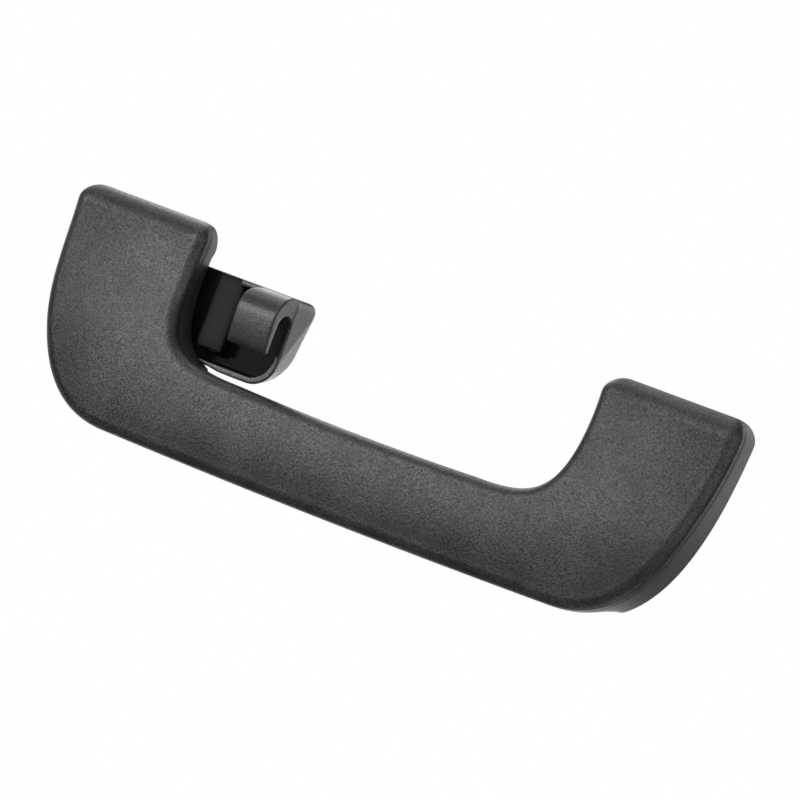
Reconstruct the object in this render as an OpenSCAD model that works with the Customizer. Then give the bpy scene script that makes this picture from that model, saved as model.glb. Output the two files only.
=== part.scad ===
// Folding roof grab handle with a coat hook, in millimetres.
// The lining lies in the plane y = 0, the cabin is on the side of negative y, and z points up.
// The two fixing holes are at z = 0, so the grip folds up with its bar above them.

/* [Grip] */
// Overall length of the grip
grip_length = 235; // [210:1:270]
// Distance from the bearing ends to the top edge of the bar
grip_height = 69.5; // [64:0.5:80]
// Height of the bar, seen from the front
bar_height = 26.8; // [22:0.2:32]
// Width of each arm at its bearing end
arm_width = 47.3; // [44:0.1:56]
// Radius of the arm corners at the bearing end, seen from the front
end_corner_r = 6; // [4:0.5:8]
// Rounding of the front edges
front_edge_r = 3.75; // [2.5:0.25:4.5]
// How far the bar stands in front of the bearing ends
front_bulge = 3.8; // [1:0.2:6]
// Wall thickness of both shells
shell_wall = 2.2; // [1.6:0.1:2.6]
// Depth of the joint line between the shells, from the front face
seam_depth = 4.5; // [4:0.1:6]
// Depth of the straight sides of the bar, from the front face
bar_side_depth = 6.6; // [6:0.1:9]
// Gap between the back of the bar and the lining
bar_back_gap = 3.5; // [2:0.5:8]
// Gap between the rear rim of the arms and the lining
rim_gap = 2.5; // [1.5:0.1:3]

/* [Hinge] */
// Distance of the hinge axis from the lining
axis_depth = 7.6; // [7.4:0.1:9]
// Outer radius of the arm ends round the hinge axis
end_round_r = 7.1; // [6.9:0.1:7.2]
// Radius of the steel hinge pins
pin_r = 2; // [1.75:0.05:2.2]
// Radial clearance of the pins in the brackets
pin_clearance = 0.05; // [0.02:0.01:0.1]
// Radius of the bearing hubs
hub_r = 4.4; // [4:0.1:4.5]
// Thickness of the bracket ears
ear_t = 3; // [2.5:0.1:4]
// Gap between the bracket ears and the bosses of the grip
ear_gap = 0.4; // [0.3:0.1:1]

/* [Brackets] */
// Distance of each fixing hole from the end of the grip
fixing_inset = 22.5; // [21.5:0.5:24.5]
// Height of the fixing holes above the bearing ends
fixing_height = 28; // [26:0.5:32]
// Width of the brackets over their ears
bracket_width = 32; // [28:0.5:33]
// Thickness of the bracket base
base_t = 3; // [2.5:0.1:4]
// Height of the bracket side walls above the lining
bracket_depth = 10; // [9:0.5:11.5]
// Radius of the hole in the steel sleeves
fixing_hole_r = 3.3; // [2.7:0.1:3.5]
// Outer radius of the steel sleeves
sleeve_r = 5; // [4.5:0.1:6]
// Length of the steel sleeves
sleeve_length = 5; // [4:0.5:7]

/* [Coat hook] */
// Length of the hook, from its free end to the arm
hook_length = 37.2; // [32:0.2:42]
// Height of the hook above the bearing ends
hook_bottom = 12; // [11:0.5:14]
// Overall height of the hook
hook_height = 28.4; // [24:0.2:28.6]
// Width of the tongue
tongue_width = 14; // [10:0.5:18]
// Thickness of the tongue at its tip
tongue_t = 2.2; // [1.8:0.1:3]
// Height of the tongue tip above the hook's lowest edge
tongue_height = 18.5; // [14:0.5:22]
// Depth of the hook body in front of the lining
hook_body_depth = 12; // [9:0.5:12]
// Clear width of the throat between the tongue and the body
throat = 7.4; // [5:0.2:8]
// Width of the raised step beside the pocket
step_width = 9.5; // [6:0.5:11]

/* [Spring and damper] */
// Radius of the spring wire
wire_r = 0.7; // [0.5:0.05:0.8]
// Mean radius of the spring coil
coil_r = 3.35; // [3.2:0.05:3.5]
// Number of turns of the spring
coil_turns = 10; // [6:1:10]
// Length of the damper housing
damper_length = 18; // [14:0.5:20]
// Outer radius of the damper housing
damper_r = 4.5; // [4.2:0.1:4.6]

/* [Hidden] */
$fn = 64;

// Heights are measured from the bearing ends and moved down to the fixing holes
z_end = -fixing_height;
axis_y = -axis_depth;
axis_z = z_end + end_round_r;
front_end_y = axis_y - end_round_r;
front_bar_y = front_end_y - front_bulge;
bar_back_y = -bar_back_gap;
rim_y = -rim_gap;
eps = 0.01;

// Outline of the grip, seen from the front: half of the outer run and half of the inner run
corner_steps = 5;
curve_steps = 14;
bar_steps = 4;
outer_x = grip_length / 2;
inner_x = outer_x - arm_width;
arm_x = outer_x - fixing_inset;
bar_bottom = grip_height - bar_height;
outer_bar_x = outer_x - 38.4;
inner_bar_x = inner_x - 27.7;
bar_bow = 0.8;

function smooth(t) = let (c = min(max(t, 0), 1)) c * c * (3 - 2 * c);
function mix(a, b, t) = a + (b - a) * t;
function bezier(p, t) = p[0] * pow(1 - t, 3) + 3 * p[1] * t * pow(1 - t, 2)
    + 3 * p[2] * t * t * (1 - t) + p[3] * pow(t, 3);
function unit(v) = v / norm(v);

outer_curve = [[outer_x, end_corner_r], [outer_x - 2, grip_height * 0.57],
               [outer_x - 10.4, grip_height - bar_bow], [outer_bar_x, grip_height - bar_bow]];
inner_curve = [[inner_x, end_corner_r], [inner_x + 1.4, bar_bottom * 0.85],
               [inner_x - 3.1, bar_bottom - bar_bow], [inner_bar_x, bar_bottom - bar_bow]];

function corner(x, side) = [for (i = [0 : corner_steps])
    let (a = 90 * i / corner_steps)
    [x + side * end_corner_r * (sin(a) - 1), end_corner_r * (1 - cos(a))]];
function half_run(curve, x, side) = concat(
    corner(x, side),
    [for (i = [1 : curve_steps]) bezier(curve, i / curve_steps)],
    [for (i = [1 : bar_steps])
        let (s = 1 - i / bar_steps)
        [curve[3][0] * s, curve[3][1] + bar_bow * (1 - s * s)]]);
function whole_run(half) = concat(half,
    [for (i = [len(half) - 2 : -1 : 0]) [-half[i][0], half[i][1]]]);

outer_run = whole_run(half_run(outer_curve, outer_x, 1));
inner_run = whole_run(half_run(inner_curve, inner_x, -1));
stations = len(outer_run);
last = stations - 1;

// Unit normal of a run, pointing out of the grip
function run_normal(run, i, out) =
    i == 0 || i == last ? [0, -1] :
    let (d = unit(run[i + 1] - run[i - 1]))
    out * [-d[1], d[0]];
outer_normal = [for (i = [0 : last]) run_normal(outer_run, i, -1)];
inner_normal = [for (i = [0 : last]) run_normal(inner_run, i, 1)];

// Front face: level at the bearing ends, then it swells towards the cabin up to the bar
function front_y(h) = front_end_y - front_bulge * (1 - cos(180 * min(max((h - end_round_r) / 38, 0), 1))) / 2;

// Share of the bearing-end rounding at a point: 1 on the end edge and 0 on the sides
function end_share(p, n) = p[1] < end_corner_r ? n[1] * n[1] : 0;
function edge_r(p, n) = mix(front_edge_r, end_round_r - 0.5, end_share(p, n));
function seam(p, n) = max(seam_depth, edge_r(p, n) + 0.5);

// A point of the grip: inset from the outline along the normal, at a depth behind the front face
function grip_point(p, n, inset, depth) =
    let (q = p - n * inset)
    [q[0], front_y(q[1]) + depth, q[1] + z_end];
function ring(inset_depth) = concat(
    [for (i = [0 : last]) let (v = inset_depth(outer_run[i], outer_normal[i]))
        grip_point(outer_run[i], outer_normal[i], v[0], v[1])],
    [for (i = [last : -1 : 0]) let (v = inset_depth(inner_run[i], inner_normal[i]))
        grip_point(inner_run[i], inner_normal[i], v[0], v[1])]);
points_per_ring = 2 * stations;

// Faces between rings a and b, and across a ring from the outer run to the inner run
function strip(a, b) = [for (i = [0 : points_per_ring - 1])
    let (j = (i + 1) % points_per_ring, p = a * points_per_ring, q = b * points_per_ring)
    each [[p + i, q + i, q + j], [p + i, q + j, p + j]]];
function ladder(a, from, to) = [for (i = [from : to - 1])
    let (p = a * points_per_ring, o = p + i, m = p + points_per_ring - 1 - i)
    each [[o, m, o + 1], [m, m - 1, o + 1]]];
function flipped(faces) = [for (f = faces) [f[2], f[1], f[0]]];

// Front shell: outer skin from the joint line over the rounded edge to the face, then the inner skin
edge_angles = [0, 15, 30, 45, 60, 75, 90];
inner_angles = [0, 45, 90];

function round_in(r, a) = [r * (1 - cos(a)), r * (1 - sin(a))];
front_outer = [
    ring(function (p, n) [0, seam(p, n)]),
    for (a = edge_angles) ring(function (p, n) round_in(edge_r(p, n), a))];
front_inner = [
    ring(function (p, n) [shell_wall, seam(p, n)]),
    for (a = inner_angles) ring(function (p, n)
        [shell_wall, shell_wall] + round_in(edge_r(p, n) - shell_wall, a))];

module front_skin() {
    outer_n = len(front_outer);
    all_n = outer_n + len(front_inner);
    points = [for (r = concat(front_outer, front_inner)) each r];
    faces = concat(
        [for (k = [0 : outer_n - 2]) each strip(k, k + 1)],
        ladder(outer_n - 1, 0, last),
        flipped([for (k = [outer_n : all_n - 2]) each strip(k, k + 1)]),
        flipped(ladder(all_n - 1, 0, last)),
        flipped(strip(0, outer_n)));
    polyhedron(points, faces);
}

// Rear shell: side walls from the joint line back to the rim, and the closed back of the bar.
// The back is open behind the arms, from the bearing ends to the first closed station.
first_closed = corner_steps + 12;
curve_angles = [0, 0, 14, 32, 50, 68, 84];
rear_steps = len(curve_angles) - 1;
end_rim_y = axis_y + 2.6;
inner_slope = tan(4);
close_start = 0.68;

// Share of the bar's closed section at a station: 0 on the arms and 1 on the bar
function bar_share(i) =
    let (j = min(i, last - i), t = (j - corner_steps) / curve_steps)
    smooth((t - close_start) / (1 - close_start));
function width_at(i) = norm(outer_run[i] - inner_run[i]);
function across(i) = (outer_run[i] - inner_run[i]) / width_at(i);

// Depth of the rear rim: the inner wall beside the hook stops short of the hook's neck
function rim_at(p, n, inner) = inner && p[0] > 0 ? end_rim_y : mix(rim_y, end_rim_y, end_share(p, n));
function side_y(p, n) = front_y(p[1]) + max(bar_side_depth, seam(p, n) + 0.4);
function arm_y(p, n, inner, k) = k == 0 ? front_y(p[1]) + seam(p, n)
    : mix(side_y(p, n), rim_at(p, n, inner), (k - 1) / (rear_steps - 1));
function arm_inset(p, n, inner, k) = !inner || k == 0 ? 0 :
    (1 - end_share(p, n)) * inner_slope * (arm_y(p, n, inner, k) - side_y(p, n));
function bar_y(p, k) = k == 0 ? front_y(p[1]) + seam_depth
    : mix(front_y(p[1]) + bar_side_depth, bar_back_y, sin(curve_angles[k]));
function bar_inset(i, k) = width_at(i) / 2 * (1 - cos(curve_angles[k]));

// Height of the rounded bearing end at a depth behind the hinge axis
function end_height(y) = let (d = max(0, y - axis_y)) end_round_r - sqrt(max(0, pow(end_round_r, 2) - d * d));

function rear_point(i, inner, k, wall) =
    let (p = inner ? inner_run[i] : outer_run[i],
         n = inner ? inner_normal[i] : outer_normal[i],
         to_middle = inner ? across(i) : -across(i),
         b = bar_share(i),
         turn = b * curve_angles[k],
         y = mix(arm_y(p, n, inner, k), bar_y(p, k), b),
         inset = mix(arm_inset(p, n, inner, k), bar_inset(i, k), b),
         q = p + to_middle * inset,
         h = p[1] < end_corner_r ? max(q[1], end_height(y)) : q[1],
         w = wall * cos(turn))
    k == 0 ? grip_point(p, n, wall, seam(p, n)) : [q[0] - n[0] * w, y - wall * sin(turn), h - n[1] * w + z_end];
function rear_ring(k, wall) = concat(
    [for (i = [0 : last]) rear_point(i, false, k, wall)],
    [for (i = [last : -1 : 0]) rear_point(i, true, k, wall)]);

// Rim faces between the outer skin's last ring and the inner skin's last ring
function rim_faces(a, b, from, to) = [for (i = [from : to - 1])
    let (p = a * points_per_ring, q = b * points_per_ring, m = points_per_ring - 1 - i)
    each [[p + i, q + i, p + i + 1], [q + i, q + i + 1, p + i + 1],
          [p + m, p + m - 1, q + m], [q + m, p + m - 1, q + m - 1]]];
function cross_rim(a, b, i) =
    let (p = a * points_per_ring, q = b * points_per_ring, m = points_per_ring - 1 - i)
    [[p + i, q + i, p + m], [q + i, q + m, p + m]];

module rear_skin() {
    outer_rings = [for (k = [0 : rear_steps]) rear_ring(k, 0)];
    inner_rings = [for (k = [0 : rear_steps]) rear_ring(k, shell_wall)];
    points = [for (r = concat(outer_rings, inner_rings)) each r];
    n = rear_steps + 1;
    faces = concat(
        flipped([for (k = [0 : n - 2]) each strip(k, k + 1)]),
        [for (k = [n : 2 * n - 2]) each strip(k, k + 1)],
        strip(0, n),
        flipped(ladder(n - 1, first_closed, last - first_closed)),
        ladder(2 * n - 1, first_closed, last - first_closed),
        flipped(rim_faces(n - 1, 2 * n - 1, 0, first_closed)),
        flipped(rim_faces(n - 1, 2 * n - 1, last - first_closed, last)),
        cross_rim(n - 1, 2 * n - 1, 0),
        flipped(cross_rim(n - 1, 2 * n - 1, first_closed)),
        cross_rim(n - 1, 2 * n - 1, last - first_closed),
        flipped(cross_rim(n - 1, 2 * n - 1, last)));
    polyhedron(points, faces);
}

// Positions along x of the parts of one arm
ear_in = arm_x - bracket_width / 2;
ear_out = arm_x + bracket_width / 2;
boss_in = ear_in - ear_gap;
boss_out = ear_out + ear_gap;
skin_in = inner_x + shell_wall;
skin_out = outer_x - shell_wall;
bore_end_in = boss_in - 5.6;
bore_end_out = boss_out + 3.8;
pin_end_gap = 0.2;
pin_bore_r = pin_r + pin_clearance;
join_y = front_end_y + end_round_r + 0.2;

// A shape drawn in y and z, extruded along x, and a shape drawn in x and z, extruded along y
module along_x(x0, x1) {
    translate([x0, 0, 0]) rotate([90, 0, 90]) linear_extrude(x1 - x0) children();
}
module along_y(y0, y1) {
    translate([0, y1, 0]) rotate([90, 0, 0]) linear_extrude(y1 - y0) children();
}
module at_axis() {
    translate([axis_y, axis_z]) children();
}
module rod(x0, x1, r) {
    translate([x0, axis_y, axis_z]) rotate([0, 90, 0]) cylinder(r = r, h = x1 - x0);
}
module other_side() {
    mirror([1, 0, 0]) children();
}

// Pin bosses of one arm: round the hinge axis, clear of the front shell and fused with the rear one
boss_r = hub_r;
module end_outline(inset) {
    r = end_corner_r - inset;
    low = z_end + inset;
    translate([inner_x + inset, low + r]) square([arm_width - 2 * inset, 20]);
    translate([inner_x + inset + r, low]) square([arm_width - 2 * inset - 2 * r, 20]);
    for (x = [inner_x + inset + r, outer_x - inset - r])
        translate([x, low + r]) circle(r = r);
}
module boss_room() {
    start = front_end_y + bar_side_depth;
    along_y(front_end_y, join_y) end_outline(shell_wall + 0.8);
    intersection() {
        along_y(join_y - eps, rim_y) end_outline(1.2);
        translate([0, 0, z_end - 1]) linear_extrude(30)
            polygon([[inner_x + 1.2 + inner_slope * (join_y - 1 - start), join_y - 1],
                     [inner_x + 1.2 + inner_slope * (rim_y + 1 - start), rim_y + 1],
                     [outer_x, rim_y + 1], [outer_x, join_y - 1]]);
    }
}
module bosses() {
    intersection() {
        boss_room();
        rod(inner_x, boss_in, boss_r);
    }
    intersection() {
        boss_room();
        rod(boss_out, outer_x, boss_r);
    }
}
module pin_holes() {
    rod(bore_end_in, boss_in + 1, pin_r);
    rod(boss_out - 1, bore_end_out, pin_r);
}

// Eye for the moving leg of the spring, inside the front wall
eye_x = ear_in + 8.5;
eye_t = 2.2;
eye_height = 10.5;
module spring_eye() {
    eye_z = axis_z + eye_height;
    difference() {
        translate([eye_x - eye_t / 2, front_end_y + 0.9, eye_z - 2.2])
            cube([eye_t, end_round_r - coil_r + 1, 4.4]);
        translate([eye_x - eye_t, axis_y - coil_r, eye_z]) rotate([0, 90, 0])
            cylinder(r = wire_r + 0.1, h = 2 * eye_t, $fn = 32);
    }
}

module grip_front_shell() {
    color("#3a3a3b") {
        front_skin();
        spring_eye();
    }
}

module grip_rear_shell() {
    color("#343435")
        difference() {
            union() {
                rear_skin();
                bosses();
                other_side() bosses();
            }
            pin_holes();
            other_side() pin_holes();
            other_side() rotor_key(0.05);
        }
}

// Bracket of one arm: base on the lining, two ears round the pin and a boss for the fixing screw
base_low = end_round_r + 0.6;
ear_top = 21;
ear_front = end_round_r - shell_wall;
ear_foot = 2.4;
leg_height = 10;
base_top = 37;
top_half = 11;
boss_depth = 8.4;
screw_boss_r = 8.7;
head_r = 7.2;
rib_t = 2.4;

module ear_profile() {
    at_axis() {
        circle(r = hub_r);
        polygon([[-hub_r + 0.2, 0], [ear_foot, 0], [ear_foot, base_low], [axis_depth, base_low],
                 [axis_depth, ear_top], [1, ear_top], [axis_depth - bracket_depth, ear_top - 4],
                 [-ear_front, leg_height + 2.5], [-ear_front, leg_height - 2]]);
    }
}
module base_outline() {
    half = bracket_width / 2;
    translate([arm_x, axis_z])
        polygon([[-half, base_low], [half, base_low], [half, ear_top], [top_half, 25],
                 [top_half, base_top], [-top_half, base_top], [-top_half, 25], [-half, ear_top]]);
}
module bracket_solid() {
    along_y(-base_t, 0) base_outline();
    along_x(ear_in, ear_in + ear_t) ear_profile();
    along_x(ear_out - ear_t, ear_out) ear_profile();
    // Ribs from the ears to the top, and the wall that carries the stop buffer
    for (x = [-top_half, top_half - rib_t])
        translate([arm_x + x, -7, axis_z + ear_top - 4]) cube([rib_t, 7, base_top - ear_top + 4]);
    translate([arm_x - top_half, -9, axis_z + base_top - 2.6]) cube([2 * top_half, 9, 2.6]);
    translate([arm_x - 5, -9, axis_z + base_top - 7]) cube([10, 9, 7]);
    // Cross ribs beside the screw boss
    translate([ear_in + 1, -6, -rib_t / 2]) cube([bracket_width - 2, 6, rib_t]);
    translate([arm_x, 0, 0]) rotate([90, 0, 0]) cylinder(r = screw_boss_r, h = boss_depth);
}
buffer_stem_r = 1.6;
buffer_z = axis_z + base_top - 3.6;
module bracket_holes() {
    translate([arm_x, 1, 0]) rotate([90, 0, 0]) cylinder(r = sleeve_r, h = boss_depth + 2);
    translate([arm_x, -sleeve_length, 0]) rotate([90, 0, 0]) cylinder(r = head_r, h = boss_depth);
    translate([arm_x, -4, buffer_z]) rotate([90, 0, 0]) cylinder(r = buffer_stem_r, h = 6);
}

module bracket_plain() {
    color("#333334")
        other_side()
            difference() {
                union() {
                    bracket_solid();
                    translate([damper_x + damper_length / 2, -base_t + 0.5, axis_z + tab_z])
                        rotate([90, 0, 0]) cylinder(r = peg_r, h = 2);
                }
                bracket_holes();
                rod(ear_in - 1, ear_in + ear_t + 1, shaft_r + 0.08);
                rod(ear_out - ear_t - 1, ear_out + 1, pin_bore_r);
            }
}

// Coat hook: a body in front of the lining, open to the cabin, and a tongue bent upwards
hook_gap = 1.2;
hook_top = min(hook_bottom + hook_height, bar_bottom - bar_bow - 0.9);
hook_low_z = hook_bottom + z_end;
hook_top_z = hook_top + z_end;
hook_rear_y = -0.4;
hook_floor_y = -3.5;
neck_y = end_rim_y + 0.6;
step_y = -8.5;
step_end_gap = 3.4;
hook_rim = 1.9;
hook_end_x = inner_x - hook_length;
step_x = inner_x - 6.2;
neck_x = step_x - 2;
pocket_x = step_x - step_width;
bend_r = throat / 2 + 4.5;
slot_r = throat / 2 - 0.1;
bend_y = -hook_body_depth - bend_r + 6;
slot_y = -hook_body_depth - slot_r + 0.1;
bend_z = hook_low_z + bend_r;
slot_z = bend_z + 1.4;
tip_z = hook_low_z + tongue_height;

// Rounded upper corner at the free end: larger and leaning inwards at the rear
rear_corner_r = 14;
rear_lean = 1.5;
rear_low_r = 3;
front_corner_r = 8;
front_low_r = 2.5;

function arc(x, z, r, from, to) = [for (i = [0 : 8])
    let (a = mix(from, to, i / 8)) [x + r * cos(a), z + r * sin(a)]];
function hook_points(r, lean, low_r) = concat(
    arc(hook_end_x + lean + r, hook_top_z - r, r, 90, 180),
    arc(hook_end_x + low_r, hook_low_z + low_r, low_r, 180, 270),
    [[inner_x - hook_gap, hook_low_z]],
    [for (i = [corner_steps + 1 : corner_steps + curve_steps])
        let (q = inner_run[i] + inner_normal[i] * hook_gap)
        if (q[1] > hook_bottom + 1 && q[1] < hook_top + 0.5) [q[0], min(q[1], hook_top) + z_end]]);

module hook_body() {
    hull() {
        along_y(hook_rear_y - 0.4, hook_rear_y) polygon(hook_points(rear_corner_r, rear_lean, rear_low_r));
        along_y(-hook_body_depth, -hook_body_depth + 0.4) polygon(hook_points(front_corner_r, 0, front_low_r));
    }
}
module hook_hollow() {
    low = hook_low_z + hook_rim;
    high = hook_top_z - hook_rim;
    front = -hook_body_depth - 1;
    // Pocket behind the tongue, with the same rounding as the body
    intersection() {
        along_y(front, hook_floor_y)
            polygon([for (q = hook_points(front_corner_r, 0, front_low_r))
                [min(max(q[0], hook_end_x + hook_rim), pocket_x), min(max(q[1], low), high)]]);
        along_y(front, hook_floor_y) polygon(concat(
            arc(hook_end_x + front_corner_r + 1, hook_top_z - front_corner_r - 1, front_corner_r + 1 - hook_rim, 90, 180),
            [[hook_end_x + hook_rim, low], [pocket_x, low], [pocket_x, high]]));
    }
    // Front of the step, side beside the arm, and the gap between the step and the upper rim
    along_y(front, step_y) translate([pocket_x - eps, hook_low_z - 1])
        square([step_width + 2 * eps, high - hook_low_z + 1]);
    along_y(front, neck_y) translate([step_x, hook_low_z - 1])
        square([inner_x - step_x, high - hook_low_z + 1]);
    along_y(front, hook_floor_y) translate([pocket_x - eps, high - step_end_gap])
        square([step_width + 2 * eps, step_end_gap]);
}
tongue_corner_r = 4;
tongue_x = hook_end_x + 0.15;
tongue_in_x = hook_end_x + tongue_width;
module tongue() {
    difference() {
        tongue_bend();
        // Rounded lower corner beside the step
        along_y(-40, -hook_body_depth - 0.3)
            translate([tongue_in_x - tongue_corner_r, hook_low_z + tongue_corner_r])
                difference() {
                    translate([0, -tongue_corner_r - 1]) square(tongue_corner_r + 1);
                    circle(r = tongue_corner_r);
                }
    }
}
module tongue_bend() {
    along_x(tongue_x, tongue_in_x)
        intersection() {
            translate([-40, hook_low_z - 1]) square([40 - hook_body_depth + 1, 40]);
            difference() {
                union() {
                    translate([bend_y, bend_z]) circle(r = bend_r);
                    translate([bend_y, hook_low_z]) square([20, bend_r]);
                    polygon([[bend_y - bend_r, bend_z], [bend_y, bend_z],
                             [bend_y - bend_r + tongue_t + 0.1, tip_z - tongue_t / 2],
                             [bend_y - bend_r + 0.1, tip_z - tongue_t / 2]]);
                    translate([bend_y - bend_r + 0.1 + tongue_t / 2, tip_z - tongue_t / 2])
                        circle(r = tongue_t / 2);
                }
                translate([slot_y, slot_z]) circle(r = slot_r);
                polygon([[slot_y - slot_r, slot_z], [bend_y - bend_r + tongue_t + 0.1, tip_z - tongue_t / 2],
                         [bend_y - bend_r + tongue_t + 0.1, tip_z + 5], [20, tip_z + 5], [20, slot_z]]);
            }
        }
}
module neck() {
    along_y(neck_y, hook_rear_y)
        polygon([[neck_x, hook_low_z], [ear_in + 1, hook_low_z], [ear_in + 1, axis_z + ear_top + 5],
                 [inner_x + 2, hook_top_z], [neck_x, hook_top_z]]);
}

module bracket_hook() {
    color("#2f2f30")
        difference() {
            union() {
                bracket_solid();
                neck();
                tongue();
                difference() {
                    hook_body();
                    hook_hollow();
                }
            }
            bracket_holes();
            rod(ear_in - 1, ear_in + ear_t + 1, pin_bore_r);
            rod(ear_out - ear_t - 1, ear_out + 1, pin_bore_r);
            translate([ear_out - ear_t - 1, axis_y + coil_r, axis_z + leg_height]) rotate([0, 90, 0])
                cylinder(r = wire_r + 0.1, h = 3, $fn = 32);
        }
}

// Steel hinge pin with chamfered ends
module hinge_pin() {
    x0 = bore_end_in + pin_end_gap;
    len_pin = bore_end_out - pin_end_gap - x0;
    chamfer = 0.3;
    color("#b4b6b8")
        translate([x0, axis_y, axis_z]) rotate([0, 90, 0])
            rotate_extrude()
                polygon([[0, 0], [pin_r - chamfer, 0], [pin_r, chamfer], [pin_r, len_pin - chamfer],
                         [pin_r - chamfer, len_pin], [0, len_pin]]);
}
module hinge_pin_plain() {
    other_side() hinge_pin();
}
module hinge_pin_hook() {
    hinge_pin();
}

// Return spring: a coil round the pin, a fixed leg in the outer ear and a moving leg in the grip's eye
coil_start = ear_out - ear_t - 1.4;
coil_end = eye_x + 2.9;
turns = coil_turns + 0.5;
turn_steps = 12;
leg_bend = 1.6;
pitch = (coil_start - coil_end) / turns;

function wire_ring(p, t, r) = let (b = cross(t, r))
    [for (i = [0 : 5]) p + wire_r * (cos(60 * i) * r + sin(60 * i) * b)];
function leg_rings(x, y, top, out, tail_length, up) = [for (k = up ? [0 : 5] : [5 : -1 : 0])
    let (bend = min(22.5 * k, 90),
         tail = k > 4 ? tail_length : 0,
         t = [out * sin(bend), 0, cos(bend)],
         p = [x + out * (leg_bend * (1 - cos(bend)) + tail), y, top - leg_bend + leg_bend * sin(bend)])
    wire_ring(p, up ? t : -t, [0, y < axis_y ? -1 : 1, 0])];
coil_rings = [for (i = [0 : turns * turn_steps])
    let (a = -360 * i / turn_steps, rise = pitch / (2 * PI * coil_r),
         r = [0, cos(a), sin(a)], t = unit([-rise, sin(a), -cos(a)]))
    wire_ring([coil_start - pitch * i / turn_steps, axis_y, axis_z] + coil_r * r, t, r)];

module return_spring() {
    rings = concat(leg_rings(coil_start, axis_y + coil_r, axis_z + leg_height, 1, 1.6, false), coil_rings,
                   leg_rings(coil_end, axis_y - coil_r, axis_z + eye_height, -1, 2.6, true));
    n = len(rings);
    points = [for (r = rings) each r];
    sides = [for (k = [0 : n - 2], i = [0 : 5])
        let (j = (i + 1) % 6, p = 6 * k, q = 6 * k + 6)
        each [[p + i, q + i, q + j], [p + i, q + j, p + j]]];
    first = [for (i = [1 : 4]) [0, i, i + 1]];
    end = [for (i = [1 : 4]) [6 * n - 6, 6 * n - 6 + i + 1, 6 * n - 6 + i]];
    color("#8c8f92")
        polyhedron(points, concat(sides, first, end));
}

// Rotary damper on the pin of the plain side
damper_x = ear_in + ear_t + 2;
damper_bore_r = 3.8;
damper_wall = 1.4;
shaft_r = 2.9;
drum_r = damper_bore_r - 0.3;
seal_r = 0.42;
tab_z = 10;
tab_half = 4;
tab_t = 1.4;
tab_y = ear_foot - 0.2;
tab_low = base_low + 0.2;
tab_top = tab_z + 2;
lug_y = axis_depth - base_t - 0.05;
peg_r = 1.2;
key_depth = 2;

module rotor_key(gap) {
    intersection() {
        rod(boss_in - key_depth - gap, ear_in, shaft_r + gap);
        translate([0, axis_y - 5, axis_z - 5]) cube([outer_x, 10, 5 + 2.3 + gap]);
    }
}
module damper_rotor() {
    drum_x = damper_x + damper_wall + 1.8;
    color("#d9d8d2")
        other_side()
            difference() {
                union() {
                    rotor_key(0);
                    rod(ear_in - ear_gap, drum_x, shaft_r);
                    rod(drum_x, damper_x + damper_length - damper_wall - 0.4, drum_r);
                }
                rod(boss_in - key_depth - 1, damper_x + damper_length, pin_bore_r);
            }
}
module damper_housing() {
    color("#26272a")
        other_side()
            difference() {
                union() {
                    rod(damper_x, damper_x + damper_length, damper_r);
                    along_x(damper_x + damper_length / 2 - tab_half, damper_x + damper_length / 2 + tab_half)
                        at_axis() polygon([[tab_y - tab_t, damper_r - 1], [tab_y, damper_r - 1], [tab_y, tab_low],
                                           [lug_y, tab_low], [lug_y, tab_top], [lug_y - tab_t, tab_top],
                                           [lug_y - tab_t, tab_low + tab_t], [tab_y - tab_t, tab_low + tab_t]]);
                }
                rod(damper_x - 1, damper_x + damper_length - damper_wall, damper_bore_r);
                rod(damper_x, damper_x + damper_length + 1, pin_bore_r);
                translate([damper_x + damper_length / 2, 0, axis_z + tab_z]) rotate([90, 0, 0])
                    cylinder(r = peg_r + 0.05, h = axis_depth);
            }
}
module damper_cap() {
    color("#d9d8d2")
        other_side()
            difference() {
                rod(damper_x, damper_x + damper_wall, damper_bore_r);
                rod(damper_x - 1, damper_x + damper_wall + 1, shaft_r + 0.08);
            }
}
module damper_seal() {
    color("#161616")
        other_side()
            translate([damper_x + damper_wall + 0.8, axis_y, axis_z]) rotate([0, 90, 0])
                rotate_extrude()
                    translate([(damper_bore_r + shaft_r) / 2, 0]) circle(r = seal_r, $fn = 24);
}

// Steel sleeve in the fixing hole
module sleeve() {
    color("#b9babc")
        difference() {
            translate([arm_x, 0, 0]) rotate([90, 0, 0]) cylinder(r = sleeve_r, h = sleeve_length);
            translate([arm_x, 1, 0]) rotate([90, 0, 0]) cylinder(r = fixing_hole_r, h = sleeve_length + 2);
        }
}
module sleeve_plain() {
    other_side() sleeve();
}
module sleeve_hook() {
    sleeve();
}

// Cover over the fixing screw: a plate on the rim of the screw boss and a ring inside the rim
cover_t = 1.4;
cover_ring_r = head_r - 0.1;
cover_ring_t = 0.7;
cover_ring_depth = 2.5;
module screw_cover() {
    color("#323233") {
        translate([arm_x, -boss_depth, 0]) rotate([90, 0, 0]) cylinder(r = screw_boss_r, h = cover_t);
        translate([arm_x, -boss_depth + cover_ring_depth, 0]) rotate([90, 0, 0])
            difference() {
                cylinder(r = cover_ring_r, h = cover_ring_depth + 0.1);
                translate([0, 0, -1]) cylinder(r = cover_ring_r - cover_ring_t, h = cover_ring_depth + 1);
            }
    }
}
module screw_cover_plain() {
    other_side() screw_cover();
}
module screw_cover_hook() {
    screw_cover();
}

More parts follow.
